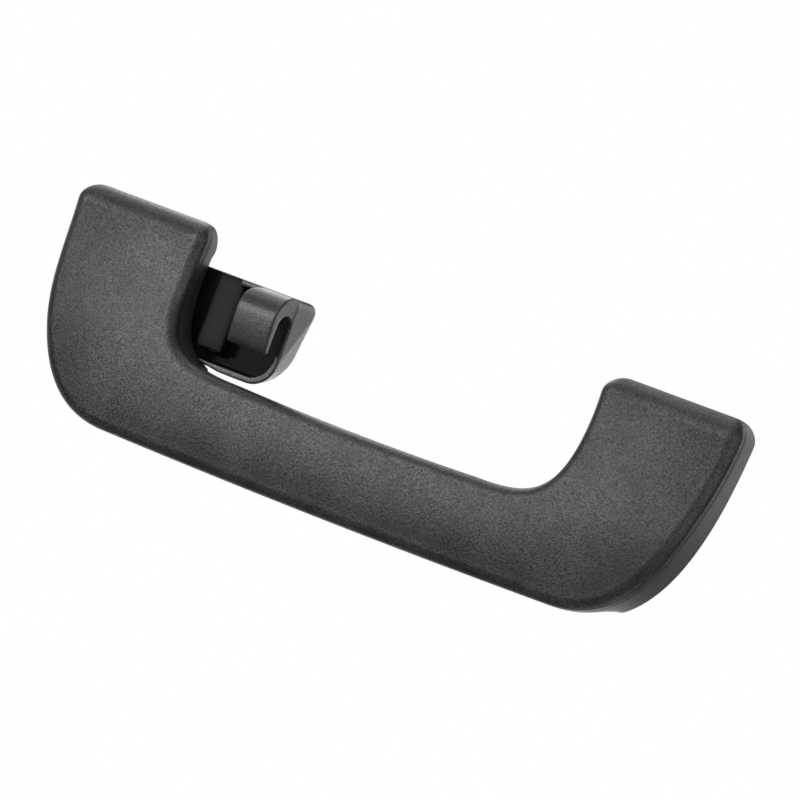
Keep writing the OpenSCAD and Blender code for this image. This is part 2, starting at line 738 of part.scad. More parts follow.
// Rubber buffer between the bracket and the front wall of the folded grip
buffer_r = 3;
buffer_gap = 0.3;
module stop_buffer() {
    wall_y = front_y(buffer_z - z_end - buffer_r) + shell_wall;
    head_y = wall_y + buffer_gap;
    color("#1b1b1b")
        translate([arm_x, 0, buffer_z]) rotate([90, 0, 0]) {
            translate([0, 0, 9]) cylinder(r = buffer_r, h = -head_y - 9);
            translate([0, 0, 4.2]) cylinder(r = buffer_stem_r, h = 5);
        }
}
module stop_buffer_plain() {
    other_side() stop_buffer();
}
module stop_buffer_hook() {
    stop_buffer();
}

grip_front_shell();
grip_rear_shell();
bracket_plain();
bracket_hook();
hinge_pin_plain();
hinge_pin_hook();
return_spring();
damper_housing();
damper_rotor();
damper_cap();
damper_seal();
sleeve_plain();
sleeve_hook();
screw_cover_plain();
screw_cover_hook();
stop_buffer_plain();
stop_buffer_hook();
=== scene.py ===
import math

import bmesh
import bpy
import numpy as np
from mathutils import Matrix, Vector


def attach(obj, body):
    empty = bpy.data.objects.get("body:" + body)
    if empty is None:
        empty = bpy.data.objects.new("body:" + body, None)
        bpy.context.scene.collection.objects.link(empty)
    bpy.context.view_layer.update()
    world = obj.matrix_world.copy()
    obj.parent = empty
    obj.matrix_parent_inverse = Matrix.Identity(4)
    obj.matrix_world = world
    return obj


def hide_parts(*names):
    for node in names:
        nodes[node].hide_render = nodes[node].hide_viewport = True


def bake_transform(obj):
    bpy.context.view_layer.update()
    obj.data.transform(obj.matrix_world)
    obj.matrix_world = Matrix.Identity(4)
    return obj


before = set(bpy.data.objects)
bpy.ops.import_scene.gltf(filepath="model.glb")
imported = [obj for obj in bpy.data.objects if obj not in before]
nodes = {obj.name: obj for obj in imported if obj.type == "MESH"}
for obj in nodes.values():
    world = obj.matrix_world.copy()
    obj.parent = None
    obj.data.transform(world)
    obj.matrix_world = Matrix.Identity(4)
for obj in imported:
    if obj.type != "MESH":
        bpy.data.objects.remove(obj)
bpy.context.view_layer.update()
scene = bpy.context.scene
scene.view_settings.view_transform = "Standard"
mm = 0.001


# Small helpers

def linear(hexColour):
    # sRGB hex to the linear values that the shaders take
    values = [int(hexColour[k:k + 2], 16) / 255 for k in (1, 3, 5)]
    return [v / 12.92 if v <= 0.04045 else ((v + 0.055) / 1.055) ** 2.4 for v in values] + [1.0]


def addNode(tree, kind, settings=None, inputs=None):
    # adds a node, sets its properties and sockets; an input that is a socket is linked
    node = tree.nodes.new(kind)
    for name, value in (settings or {}).items():
        setattr(node, name, value)
    for name, value in (inputs or {}).items():
        if isinstance(value, bpy.types.NodeSocket):
            tree.links.new(value, node.inputs[name])
        else:
            node.inputs[name].default_value = value
    return node


def emptyMaterial(name):
    material = bpy.data.materials.new(name)
    material.use_nodes = True
    material.node_tree.nodes.clear()
    return material, material.node_tree


def meshFromArrays(name, points, faces):
    mesh = bpy.data.meshes.new(name)
    mesh.from_pydata([tuple(p) for p in points], [], [tuple(f) for f in faces])
    mesh.validate()
    mesh.update()
    piece = bpy.data.objects.new(name, mesh)
    scene.collection.objects.link(piece)
    return piece


def smoothShade(piece, angle):
    # smooth faces with sharp edges where the shape really turns
    bm = bmesh.new()
    bm.from_mesh(piece.data)
    for face in bm.faces:
        face.smooth = True
    for edge in bm.edges:
        edge.smooth = len(edge.link_faces) == 2 and edge.calc_face_angle(0) < math.radians(angle)
    bm.to_mesh(piece.data)
    bm.free()


def mergedCopy(nodeName, name):
    # a CAD node's mesh is loose triangles, so the copy is merged first
    piece = bpy.data.objects.new(name, nodes[nodeName].data.copy())
    scene.collection.objects.link(piece)
    bm = bmesh.new()
    bm.from_mesh(piece.data)
    bmesh.ops.remove_doubles(bm, verts=bm.verts, dist=1e-6)
    bm.to_mesh(piece.data)
    bm.free()
    piece.data.materials.clear()
    return piece


def applyModifiers(piece):
    graph = bpy.context.evaluated_depsgraph_get()
    mesh = bpy.data.meshes.new_from_object(piece.evaluated_get(graph))
    old = piece.data
    piece.modifiers.clear()
    piece.data = mesh
    bpy.data.meshes.remove(old)


def place(piece, body, slot, material, *replaced):
    piece.data.materials.clear()
    piece.data.materials.append(material)
    if replaced:
        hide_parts(*replaced)
    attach(piece, body)


# Materials

def mouldedPlastic(name, look):
    # Injection moulded ABS from an eroded mould: small pits darken the colour and break the satin sheen
    material, tree = emptyMaterial(name)
    coords = addNode(tree, "ShaderNodeTexCoord").outputs["Object"]
    grain = addNode(tree, "ShaderNodeTexNoise", {},
                    {"Vector": coords, "Scale": 1 / (look["grainMm"] * mm), "Detail": 3.0, "Roughness": 0.7})
    patch = addNode(tree, "ShaderNodeTexNoise", {},
                    {"Vector": coords, "Scale": 1 / (look["patchMm"] * mm), "Detail": 2.0})
    worn = addNode(tree, "ShaderNodeMapRange", {},
                   {"Value": patch.outputs["Fac"], "From Min": 0.35, "From Max": 0.65})
    tint = addNode(tree, "ShaderNodeMix", {"data_type": "RGBA"},
                   {0: worn.outputs["Result"], 6: linear(look["dark"]), 7: linear(look["light"])})
    height = addNode(tree, "ShaderNodeMapRange", {},
                     {"Value": grain.outputs["Fac"], "From Min": 0.32, "From Max": 0.62})
    pitted = addNode(tree, "ShaderNodeMix", {"data_type": "RGBA"},
                     {0: height.outputs["Result"], 6: linear(look["pit"]), 7: tint.outputs[2]})
    rough = addNode(tree, "ShaderNodeMapRange", {},
                    {"Value": height.outputs["Result"], "To Min": look["rough"] + 0.08, "To Max": look["rough"]})
    cavity = addNode(tree, "ShaderNodeMapRange", {},
                     {"Value": height.outputs["Result"], "To Min": 0.5 - look["cavity"], "To Max": 0.5})
    relief = addNode(tree, "ShaderNodeBump", {},
                     {"Height": height.outputs["Result"], "Strength": look["relief"], "Distance": look["depthMm"] * mm})
    shader = addNode(tree, "ShaderNodeBsdfPrincipled", {},
                     {"Base Color": pitted.outputs[2], "Roughness": rough.outputs["Result"], "IOR": 1.52,
                      "Specular IOR Level": cavity.outputs["Result"], "Normal": relief.outputs["Normal"]})
    if "polishedShade" in look:
        # where the mask marks the pocket the plastic is smooth and without grain; its near-black colour and low
        # specular level are painted shade of the tongue and rim
        shadeMask = addNode(tree, "ShaderNodeAttribute", {"attribute_name": "polishedShade"}).outputs["Fac"]
        colour = addNode(tree, "ShaderNodeMix", {"data_type": "RGBA"},
                         {0: shadeMask, 6: pitted.outputs[2], 7: linear(look["polishedShade"])})
        smoothed = addNode(tree, "ShaderNodeMapRange", {}, {"Value": shadeMask, "To Max": look["polishedRough"]})
        tree.links.new(rough.outputs["Result"], smoothed.inputs["To Min"])
        strength = addNode(tree, "ShaderNodeMapRange", {}, {"Value": shadeMask, "To Min": look["relief"], "To Max": 0.02})
        shaded = addNode(tree, "ShaderNodeMapRange", {}, {"Value": shadeMask, "To Max": look["shadeSpecularLevel"]})
        tree.links.new(cavity.outputs["Result"], shaded.inputs["To Min"])
        tree.links.new(shaded.outputs["Result"], shader.inputs["Specular IOR Level"])
        tree.links.new(colour.outputs[2], shader.inputs["Base Color"])
        tree.links.new(smoothed.outputs["Result"], shader.inputs["Roughness"])
        tree.links.new(strength.outputs["Result"], relief.inputs["Strength"])
    addNode(tree, "ShaderNodeOutputMaterial", {}, {"Surface": shader.outputs["BSDF"]})
    return material


gripLook = {"dark": "#29292a", "light": "#3c3c3d", "pit": "#141415", "grainMm": 0.62, "patchMm": 18,
            "rough": 0.36, "relief": 0.6, "depthMm": 0.06, "cavity": 0.22}
# The rear shell is drawn lighter and warmer than the front; part of its lighter tone is painted sheen of the rear wall
# seen at a grazing angle
rearLook = {"dark": "#353331", "light": "#3c3936", "pit": "#2a2827", "grainMm": 0.35, "patchMm": 20,
            "rough": 0.4, "relief": 0.3, "depthMm": 0.04, "cavity": 0.1}
# The hook's pocket colour #0e0e0f and its specular level of 0.02 are painted shade: they keep the pocket nearly black
# and stop it mirroring ArmBox
hookLook = {"dark": "#29292a", "light": "#303031", "pit": "#1c1c1d", "grainMm": 0.62, "patchMm": 14,
            "rough": 0.28, "relief": 0.4, "depthMm": 0.05, "cavity": 0.14,
            "polishedShade": "#0e0e0f", "polishedRough": 0.2, "shadeSpecularLevel": 0.02}
bracketLook = {"dark": "#242425", "light": "#2a2a2b", "pit": "#1c1c1d", "grainMm": 0.4, "patchMm": 14,
               "rough": 0.5, "relief": 0.3, "depthMm": 0.04, "cavity": 0.1}
gripPlastic = mouldedPlastic("GrainedGripPlastic", gripLook)
rearPlastic = mouldedPlastic("SatinRearPlastic", rearLook)
hookPlastic = mouldedPlastic("CoatHookPlastic", hookLook)
bracketPlastic = mouldedPlastic("BracketPlastic", bracketLook)
print("materials made")


# Camera, at the photo's viewing angle: the picture shows the handle upside down and tilted

cameraView = {"azimuth": -28.8, "elevation": -0.9, "distance": 1957 * mm, "lens": 302.3,
              "target": (-5.3 * mm, -10 * mm, 7 * mm), "targetPixel": (383.34, 415.73), "roll": 200.36}


def makeCamera(view):
    a, e = math.radians(view["azimuth"]), math.radians(view["elevation"])
    back = Vector((math.sin(a) * math.cos(e), -math.cos(a) * math.cos(e), math.sin(e)))
    right = Vector((0, 0, 1)).cross(back).normalized()
    up = back.cross(right)
    roll = math.radians(view["roll"])
    turnedRight = right * math.cos(roll) + up * math.sin(roll)
    turnedUp = up * math.cos(roll) - right * math.sin(roll)
    camera = bpy.data.objects.new("Camera", bpy.data.cameras.new("Camera"))
    scene.collection.objects.link(camera)
    camera.data.lens = view["lens"]
    camera.data.sensor_width = 36
    camera.data.shift_x = (400 - view["targetPixel"][0]) / 800
    camera.data.shift_y = (view["targetPixel"][1] - 400) / 800
    camera.data.clip_end = 100
    turn = Matrix((turnedRight, turnedUp, back)).transposed().to_4x4()
    camera.matrix_world = Matrix.Translation(Vector(view["target"]) + back * view["distance"]) @ turn
    scene.camera = camera


makeCamera(cameraView)


# Light and floor

lightSetup = {"fill": 0.55, "mirrorFront": 0.0, "mirrorBack": 0.6, "mirrorFrom": 0.55, "mirrorTo": 0.95,
              "floorHeight": -1500 * mm, "floorGlow": 1.0}
# direction from the handle, distance and size in mm, power in W; aim is the point the distance counts from
softboxes = {
    "KeyBox": {"toward": (0.25, -0.86, -0.45), "distance": 900, "size": 500, "power": 2.1},
    "ArmBox": {"toward": (0.37, -0.92, -0.15), "distance": 440, "size": 220, "power": 1.0, "aim": (88, -14, 5)},
    "HookBox": {"toward": (0.48, 0.58, -0.65), "distance": 250, "size": 120, "power": 0.13, "aim": (45, -18, -16)},
    "InnerBox": {"toward": (-0.5, -0.82, -0.15), "distance": 1200, "size": 500, "power": 1.5},
    "RightBox": {"toward": (-0.85, -0.35, -0.15), "distance": 1200, "size": 1100, "power": 4.6},
    "TopBox": {"toward": (0.31, -0.15, -0.94), "distance": 1200, "size": 900, "power": 3.4},
    "LowBox": {"toward": (-0.31, 0.15, 0.94), "distance": 1200, "size": 900, "power": 3.5},
    "RearTopBox": {"toward": (0.55, 0.45, -0.71), "distance": 1200, "size": 1100, "power": 4.2},
    "RearRightBox": {"toward": (-0.32, 0.91, -0.26), "distance": 1200, "size": 1100, "power": 6.0},
    "RearLeftBox": {"toward": (0.9, 0.38, 0.24), "distance": 1200, "size": 1100, "power": 2.5},
    "RearLowBox": {"toward": (0.42, 0.8, 0.42), "distance": 1200, "size": 1000, "power": 3.6},
}


def makeWorld(setup):
    # a white room behind the handle and a dim one on the viewer's side, which gives the bright outlines
    world = bpy.data.worlds.new("Studio")
    scene.world = world
    world.use_nodes = True
    tree = world.node_tree
    tree.nodes.clear()
    path = addNode(tree, "ShaderNodeLightPath")
    direction = addNode(tree, "ShaderNodeTexCoord").outputs["Generated"]
    behind = addNode(tree, "ShaderNodeVectorMath", {"operation": "DOT_PRODUCT"}, {0: direction, 1: (0.48, 0.88, 0)})
    shine = addNode(tree, "ShaderNodeMapRange", {"interpolation_type": "SMOOTHSTEP"},
                    {"Value": behind.outputs["Value"], "From Min": setup["mirrorFrom"], "From Max": setup["mirrorTo"],
                     "To Min": setup["mirrorFront"], "To Max": setup["mirrorBack"]})
    fill = addNode(tree, "ShaderNodeBackground", {}, {"Color": (1, 1, 1, 1), "Strength": setup["fill"]})
    seen = addNode(tree, "ShaderNodeBackground", {}, {"Color": (1, 1, 1, 1), "Strength": 1.0})
    mirrored = addNode(tree, "ShaderNodeBackground", {}, {"Color": (1, 1, 1, 1), "Strength": shine.outputs["Result"]})
    first = addNode(tree, "ShaderNodeMixShader", {},
                    {0: path.outputs["Is Glossy Ray"], 1: fill.outputs[0], 2: mirrored.outputs[0]})
    seenBy = addNode(tree, "ShaderNodeMath", {"operation": "MAXIMUM"},
                     {0: path.outputs["Is Camera Ray"], 1: path.outputs["Is Transmission Ray"]})
    last = addNode(tree, "ShaderNodeMixShader", {}, {0: seenBy.outputs[0], 1: first.outputs[0], 2: seen.outputs[0]})
    addNode(tree, "ShaderNodeOutputWorld", {}, {"Surface": last.outputs[0]})


def addSoftbox(name, box):
    lamp = bpy.data.lights.new(name, "AREA")
    lamp.size = box["size"] * mm
    lamp.energy = box["power"]
    light = bpy.data.objects.new(name, lamp)
    scene.collection.objects.link(light)
    light.visible_camera = False
    toward = Vector(box["toward"]).normalized()
    place = Vector(box.get("aim", (0, -10, 5))) * mm + toward * box["distance"] * mm
    light.matrix_world = Matrix.Translation(place) @ toward.to_track_quat("Z", "Y").to_matrix().to_4x4()


def makeFloor(setup):
    half = 8.0
    z = setup["floorHeight"]
    floor = meshFromArrays("Floor", [(-half, -half, z), (half, -half, z), (half, half, z), (-half, half, z)],
                           [(0, 1, 2, 3)])
    material, tree = emptyMaterial("PaleFloor")
    path = addNode(tree, "ShaderNodeLightPath")
    paint = addNode(tree, "ShaderNodeBsdfDiffuse", {}, {"Color": linear("#6f6f6e")})
    seenBy = addNode(tree, "ShaderNodeMath", {"operation": "MULTIPLY"},
                     {0: path.outputs["Is Camera Ray"], 1: setup["floorGlow"]})
    glow = addNode(tree, "ShaderNodeEmission", {}, {"Color": (1, 1, 1, 1), "Strength": seenBy.outputs[0]})
    both = addNode(tree, "ShaderNodeAddShader", {}, {0: paint.outputs[0], 1: glow.outputs[0]})
    addNode(tree, "ShaderNodeOutputMaterial", {}, {"Surface": both.outputs[0]})
    floor.data.materials.append(material)


makeWorld(lightSetup)
for boxName, box in softboxes.items():
    addSoftbox(boxName, box)
makeFloor(lightSetup)
print("camera, light and floor made")


# Grip: both shells follow the outline of the CAD nodes, with finer steps and a joint line between them

grip = {"length": 235.0, "height": 69.5, "barHeight": 26.8, "armWidth": 47.3, "endCorner": 6.0,
        "edgeRound": 3.75, "bulge": 3.8, "wall": 2.2, "seamDepth": 4.5, "sideDepth": 6.6,
        "backGap": 3.5, "rimGap": 2.5, "axisDepth": 7.6, "endRound": 7.1, "fixingHeight": 28.0,
        "cornerSteps": 14, "curveSteps": 70, "barSteps": 24, "barBow": 0.8,
        "innerSlope": 4, "closeStart": 0.72, "closedFrom": 12 / 14, "crown": 0.7, "insetStart": 0.735}


def smooth(t):
    c = np.clip(t, 0, 1)
    return c * c * (3 - 2 * c)


def mix(a, b, t):
    return a + (b - a) * t


class Outline:
    # the two runs of the grip seen from the front, with their outward normals
    def __init__(self, g):
        self.g = g
        self.outerX = g["length"] / 2
        self.innerX = self.outerX - g["armWidth"]
        barBottom = g["height"] - g["barHeight"]
        r = g["endCorner"]
        outerCurve = [(self.outerX, r), (self.outerX - 2, g["height"] * 0.57),
                      (self.outerX - 10.4, g["height"] - g["barBow"]), (self.outerX - 38.4, g["height"] - g["barBow"])]
        innerCurve = [(self.innerX, r), (self.innerX + 1.4, barBottom * 0.85),
                      (self.innerX - 3.1, barBottom - g["barBow"]), (self.innerX - 27.7, barBottom - g["barBow"])]
        self.outer = self.run(outerCurve, self.outerX, 1)
        self.inner = self.run(innerCurve, self.innerX, -1)
        self.outerNormal = self.normals(self.outer, -1)
        self.innerNormal = self.normals(self.inner, 1)
        self.count = len(self.outer)

    def run(self, curve, x, side):
        g, r = self.g, self.g["endCorner"]
        points = []
        for i in range(g["cornerSteps"] + 1):
            a = math.pi / 2 * i / g["cornerSteps"]
            points.append((x + side * r * (math.sin(a) - 1), r * (1 - math.cos(a))))
        c = np.array(curve)
        for i in range(1, g["curveSteps"] + 1):
            t = i / g["curveSteps"]
            points.append(tuple(c[0] * (1 - t) ** 3 + 3 * c[1] * t * (1 - t) ** 2 + 3 * c[2] * t * t * (1 - t) + c[3] * t ** 3))
        for i in range(1, g["barSteps"] + 1):
            s = 1 - i / g["barSteps"]
            points.append((curve[3][0] * s, curve[3][1] + g["barBow"] * (1 - s * s)))
        half = np.array(points)
        return np.vstack([half, half[-2::-1] * [-1, 1]])

    def normals(self, run, side):
        d = np.zeros_like(run)
        d[1:-1] = run[2:] - run[:-2]
        d[0] = d[-1] = (1, 0)
        d /= np.linalg.norm(d, axis=1)[:, None]
        n = side * np.stack([-d[:, 1], d[:, 0]], 1)
        n[0] = n[-1] = (0, -1)
        return n

    def share(self):
        # place along each half run: below 0 on the corner, 0 to 1 on the curve, above 1 on the bar
        i = np.arange(self.count)
        j = np.minimum(i, self.count - 1 - i)
        return (j - self.g["cornerSteps"]) / self.g["curveSteps"]


outline = Outline(grip)
axisY = -grip["axisDepth"]
frontEndY = axisY - grip["endRound"]
zEnd = -grip["fixingHeight"]


def frontY(h):
    t = np.clip((h - grip["endRound"]) / 38, 0, 1)
    return frontEndY - grip["bulge"] * (1 - np.cos(np.pi * t)) / 2


def endShare(p, n):
    return np.where(p[:, 1] < grip["endCorner"], n[:, 1] ** 2, 0)


def edgeRound(p, n):
    return mix(grip["edgeRound"], grip["endRound"] - 0.5, endShare(p, n))


def seamDepth(p, n):
    return np.maximum(grip["seamDepth"], edgeRound(p, n) + 0.5)


def gripPoints(p, n, inset, depth, lowest=0):
    # lowest keeps the corners of a ring from folding back over the bearing end
    q = p - n * np.reshape(inset, (-1, 1))
    h = np.maximum(q[:, 1], lowest)
    return np.stack([q[:, 0], frontY(h) + depth, h + zEnd], 1)


class RingMesh:
    # rings of points: the outer run forwards, then the inner run backwards
    # a ring is known by the number of its first point
    def __init__(self):
        self.points, self.faces = [], []
        self.size = 2 * outline.count

    def add(self, outerPoints, innerPoints):
        start = len(self.points)
        self.points.extend(np.vstack([outerPoints, innerPoints[::-1]]))
        return start

    def strip(self, a, b, flip=False):
        for i in range(self.size):
            j = (i + 1) % self.size
            face = (a + i, b + i, b + j, a + j)
            self.faces.append(face[::-1] if flip else face)

    def across(self, a, start, end, rows, lift, flip=False):
        # quads over the face, from the outer run to the inner run, with a slight crown
        base = len(self.points)
        for i in range(start, end + 1):
            for k in range(1, rows):
                s = k / rows
                point = mix(self.points[a + i], self.points[a + self.size - 1 - i], s)
                self.points.append(point + np.array([0, lift * 4 * s * (1 - s), 0]))

        def index(i, k):
            if k == 0:
                return a + i
            if k == rows:
                return a + self.size - 1 - i
            return base + (i - start) * (rows - 1) + k - 1

        for i in range(start, end):
            for k in range(rows):
                face = (index(i, k), index(i, k + 1), index(i + 1, k + 1), index(i + 1, k))
                self.faces.append(face[::-1] if flip else face)

    def build(self, name):
        return meshFromArrays(name, np.array(self.points) * mm, self.faces)


def bothRuns(make):
    return make(outline.outer, outline.outerNormal, False), make(outline.inner, outline.innerNormal, True)


def skinRing(rings, inset, depth, lowest=0):
    # inset and depth are functions of the run's points and normals
    made = bothRuns(lambda p, n, inner: gripPoints(p, n, inset(p, n), depth(p, n), lowest))
    return rings.add(*made)


def frontShell(name):
    g, rings = grip, RingMesh()
    last = outline.count - 1
    endEdge = g["endRound"] - 0.5
    first = skinRing(rings, lambda p, n: np.zeros(len(p)), seamDepth)
    previous = first
    for a in np.radians(np.linspace(0, 90, 13)):
        ring = skinRing(rings, lambda p, n: edgeRound(p, n) * (1 - math.cos(a)),
                        lambda p, n: edgeRound(p, n) * (1 - math.sin(a)) + g["crown"] * math.sin(a),
                        endEdge * (1 - math.cos(a)))
        rings.strip(previous, ring)
        previous = ring
    rings.across(previous, 0, last, 12, -g["crown"])
    innerFirst = rings.add(*bothRuns(lambda p, n, inner: gripPoints(p, n, np.full(len(p), g["wall"]), seamDepth(p, n))))
    rings.strip(first, innerFirst, flip=True)
    previous = innerFirst
    for a in np.radians(np.linspace(0, 90, 7)):
        ring = skinRing(rings, lambda p, n: g["wall"] + (edgeRound(p, n) - g["wall"]) * (1 - math.cos(a)),
                        lambda p, n: g["wall"] + (edgeRound(p, n) - g["wall"]) * (1 - math.sin(a)),
                        g["wall"] + (endEdge - g["wall"]) * (1 - math.cos(a)))
        rings.strip(previous, ring, flip=True)
        previous = ring
    rings.across(previous, 0, last, 4, 0, flip=True)
    return rings.build(name)


innerSlope = math.tan(math.radians(grip["innerSlope"]))
endRimY = axisY + 2.6
rearRings = 18


def barShare(start):
    return smooth((outline.share() - start) / (1 - start))


def rimY(p, n, inner):
    rim = mix(-grip["rimGap"], endRimY, endShare(p, n))
    return np.where(inner & (p[:, 0] > 0), endRimY, rim)


def sideY(p, n):
    return frontY(p[:, 1]) + np.maximum(grip["sideDepth"], seamDepth(p, n) + 0.4)


def rearPoints(p, n, inner, k, wall):
    if k == 0:
        return gripPoints(p, n, np.full(len(p), wall), seamDepth(p, n))
    across = outline.outer - outline.inner
    width = np.linalg.norm(across, axis=1)
    middle = across / width[:, None] * (1 if inner else -1)
    along = (k - 1) / (rearRings - 1)
    angle = math.radians(np.interp(along, [0, 0.2, 0.4, 0.6, 0.8, 1], [0, 14, 32, 50, 68, 84]))
    bar = barShare(grip["closeStart"])
    turn = bar * angle
    armY = mix(sideY(p, n), rimY(p, n, inner), along)
    barY = mix(frontY(p[:, 1]) + grip["sideDepth"], -grip["backGap"], math.sin(angle))
    y = mix(armY, barY, bar)
    armInset = (1 - endShare(p, n)) * innerSlope * (armY - sideY(p, n)) if inner else np.zeros(len(p))
    # the outer side starts to turn in later, which keeps the outline of the corner even
    insetShare = bar if inner else barShare(grip["insetStart"])
    inset = mix(armInset, width / 2 * (1 - math.cos(angle)), insetShare)
    q = p + middle * inset[:, None]
    deep = np.maximum(0, y - axisY)
    endHeight = grip["endRound"] - np.sqrt(np.maximum(0, grip["endRound"] ** 2 - deep ** 2))
    h = np.where(p[:, 1] < grip["endCorner"], np.maximum(q[:, 1], endHeight), q[:, 1])
    w = wall * np.cos(turn)
    return np.stack([q[:, 0] - n[:, 0] * w, y - wall * np.sin(turn), h - n[:, 1] * w + zEnd], 1)


def rearShell(name):
    rings = RingMesh()
    count, size = outline.count, rings.size
    last = count - 1
    outside = [rings.add(*bothRuns(lambda p, n, inner: rearPoints(p, n, inner, k, 0))) for k in range(rearRings + 1)]
    inside = [rings.add(*bothRuns(lambda p, n, inner: rearPoints(p, n, inner, k, grip["wall"])))
              for k in range(rearRings + 1)]
    for k in range(rearRings):
        rings.strip(outside[k], outside[k + 1], flip=True)
        rings.strip(inside[k], inside[k + 1])
    rings.strip(outside[0], inside[0])
    closed = grip["cornerSteps"] + round(grip["closedFrom"] * grip["curveSteps"])
    a, b = outside[-1], inside[-1]

    def rim(i, flip):
        m = size - 1 - i
        quads = [(a + i, b + i, b + i + 1, a + i + 1), (a + m, a + m - 1, b + m - 1, b + m)]
        rings.faces.extend([q[::-1] for q in quads] if flip else quads)

    def crossRim(i, flip):
        m = size - 1 - i
        quad = (a + i, b + i, b + m, a + m)
        rings.faces.append(quad[::-1] if flip else quad)
    for i in list(range(0, closed)) + list(range(last - closed, last)):
        rim(i, True)
    crossRim(0, False)
    crossRim(closed, True)
    crossRim(last - closed, False)
    crossRim(last, True)
    rings.across(outside[-1], closed, last - closed, 4, 0, flip=True)
    rings.across(inside[-1], closed, last - closed, 4, 0)
    return rings.build(name)


def addTube(bm, x0, x1, outerRadius, holeRadius, y, z, sides=64):
    # a tube or disc along x, closed at both ends
    loops = []
    for x, r in ((x0, holeRadius), (x0, outerRadius), (x1, outerRadius), (x1, holeRadius)):
        loops.append([bm.verts.new((x * mm, (y + r * math.cos(t)) * mm, (z + r * math.sin(t)) * mm))
                      for t in np.linspace(0, 2 * math.pi, sides, endpoint=False)])
    for a, b in zip(loops, loops[1:] + loops[:1]):
        for i in range(sides):
            j = (i + 1) % sides
            bm.faces.new((a[i], b[i], b[j], a[j]))


def addLug(bm, x0, x1, yWall, yEye, z, rim, hole):
    # foot of the eye: from the wall to the eye's widest place, hollowed where the wire passes
    arc = [(yEye - hole * math.cos(t), z + hole * math.sin(t)) for t in np.linspace(-math.pi / 2, math.pi / 2, 12)]
    sides = [(yEye, z - rim), (yWall, z - rim), (yWall, z + rim), (yEye, z + rim)]
    profile = sides + arc[::-1]
    a, b = ([bm.verts.new((x * mm, y * mm, h * mm)) for y, h in profile] for x in (x0, x1))
    bm.faces.new(a)
    bm.faces.new(b[::-1])
    for i in range(len(profile)):
        j = (i + 1) % len(profile)
        bm.faces.new((a[i], b[i], b[j], a[j]))


axisZ = zEnd + grip["endRound"]
pinRadius, hubRadius = 2.0, 4.4
bossSpans = ((outline.innerX + 1, 78.6), (111.4, outline.outerX - 1))
front = frontShell("gripFrontShell")
rear = rearShell("gripRearShell")
for piece, width in ((front, 0.22), (rear, 0.22)):
    bevel = piece.modifiers.new("RimEdges", "BEVEL")
    bevel.width = width * mm
    bevel.segments = 2
    bevel.limit_method = "ANGLE"
    bevel.angle_limit = math.radians(55)
    bevel.use_clamp_overlap = True
    applyModifiers(piece)
springEye = {"x": 87.5, "thickness": 2.2, "height": 10.5, "hole": 0.8, "rim": 2.2, "coil": 3.35}
bm = bmesh.new()
bm.from_mesh(front.data)
eyeY, eyeZ = axisY - springEye["coil"], axisZ + springEye["height"]
eyeX0, eyeX1 = springEye["x"] - springEye["thickness"] / 2, springEye["x"] + springEye["thickness"] / 2
addTube(bm, eyeX0, eyeX1, springEye["rim"], springEye["hole"], eyeY, eyeZ, 32)
addLug(bm, eyeX0, eyeX1, frontEndY + 1, eyeY, eyeZ, springEye["rim"], springEye["hole"])
bm.to_mesh(front.data)
bm.free()
bm = bmesh.new()
bm.from_mesh(rear.data)
for side in (-1, 1):
    for x0, x1 in bossSpans:
        addTube(bm, side * x0, side * x1, hubRadius, pinRadius, axisY, axisZ)
bmesh.ops.recalc_face_normals(bm, faces=bm.faces)
bm.to_mesh(rear.data)
bm.free()
smoothShade(front, 35)
smoothShade(rear, 35)
place(front, "grip", "grip_front", gripPlastic, "grip_front_shell")
place(rear, "grip", "grip_rear", rearPlastic, "grip_rear_shell")
print("grip shells made", len(front.data.polygons), len(rear.data.polygons))


# Coat hook with its bracket: the CAD form with the soft edges of a moulding

# stepShare is how much painted shade lies on the step's face inside the pocket
hookPiece = {"voxelMm": 0.35, "smoothing": 6, "rimY": -11.0, "stepY": -8.5, "stepFrom": 54.0, "stepTo": 64.5,
             "stepLow": -17.5, "stepTop": 8.5, "stepShare": 0.935, "middle": (46, -22, 0),
             "filledX": (58.5, 62.5), "filledY": (-3.4, -0.5), "filledZ": (7.5, 11.8),
             "tipZ": 2.5, "bendZ": -10.0, "tipBack": 1.3, "tongueY": -12.3, "tongueTo": 48.0,
             "endX": 33.0, "topZ": 12.4, "rearY": -0.4, "frontY": -12.0, "rearRadius": 14.0, "frontRadius": 8.0,
             "rearLean": 1.5, "wallY": (-11.0, -0.7), "wallInset": 0.25, "wallThick": 1.5}


def markPolishedShade(piece, p):
    # the mould is polished inside the pocket and round the neck, less so on the face of the step; the same mask darkens
    # these faces as painted shade of the tongue and rim
    mesh = piece.data
    points, normals = np.zeros(len(mesh.vertices) * 3), np.zeros(len(mesh.vertices) * 3)
    mesh.vertices.foreach_get("co", points)
    mesh.vertices.foreach_get("normal", normals)
    points, normals = points.reshape(-1, 3) / mm, normals.reshape(-1, 3)
    inward = np.sum(normals * (np.array(p["middle"]) - points), axis=1) > 0
    deep = smooth((points[:, 1] - p["rimY"]) / 0.8)
    onStep = (abs(points[:, 1] - p["stepY"]) < 0.6) & (normals[:, 1] < -0.6)
    toSide = np.minimum(points[:, 0] - p["stepFrom"], p["stepTo"] - points[:, 0])
    toEnd = np.minimum(points[:, 2] - p["stepLow"], p["stepTop"] - points[:, 2])
    grained = (1 - p["stepShare"]) * smooth(toSide / 3.5) * smooth(toEnd / 5)
    share = np.where(inward, deep, 0) * np.where(onStep, 1 - grained, 1)
    mesh.attributes.new("polishedShade", "FLOAT", "POINT").data.foreach_set("value", share)


